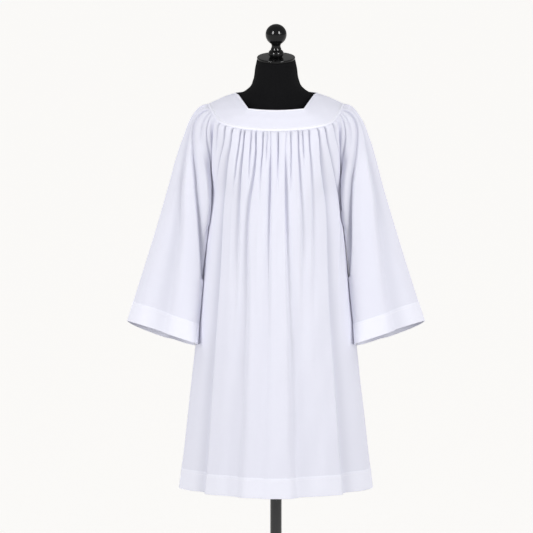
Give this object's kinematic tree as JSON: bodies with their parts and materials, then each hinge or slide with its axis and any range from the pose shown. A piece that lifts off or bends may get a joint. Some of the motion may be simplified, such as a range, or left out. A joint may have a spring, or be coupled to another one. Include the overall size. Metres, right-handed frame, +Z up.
{
  "type": "surplice on a dress form",
  "caption": "White gathered surplice with a round yoke, square neck and wide open sleeves, worn by a limbless black dress form on a pole and round base.",
  "frame": {"origin": "centre of the stand's base, on the floor", "axes": "+Z up, -Y the wearer's front, +X the wearer's left"},
  "size_m": [0.7352, 0.4, 1.6676],
  "materials": {
    "white_cotton": "fine plain weave, matt with a faint sheen",
    "black_jersey": "matt knitted jersey",
    "black_lacquer": "turned wood in gloss black lacquer",
    "black_steel": "satin black powder coat"
  },
  "bodies": {
    "root": {"yoke_front": "white_cotton", "yoke_back": "white_cotton", "front_panel": "white_cotton", "back_panel": "white_cotton", "sleeve_left": "white_cotton", "sleeve_right": "white_cotton", "hem_front": "white_cotton", "hem_back": "white_cotton", "cuff_hem_left": "white_cotton", "cuff_hem_right": "white_cotton", "form_torso": "black_jersey", "form_neck_cap": "black_lacquer", "form_finial": "black_lacquer", "form_pole": "black_steel", "form_base": "black_steel"}
  },
  "joints": []
}
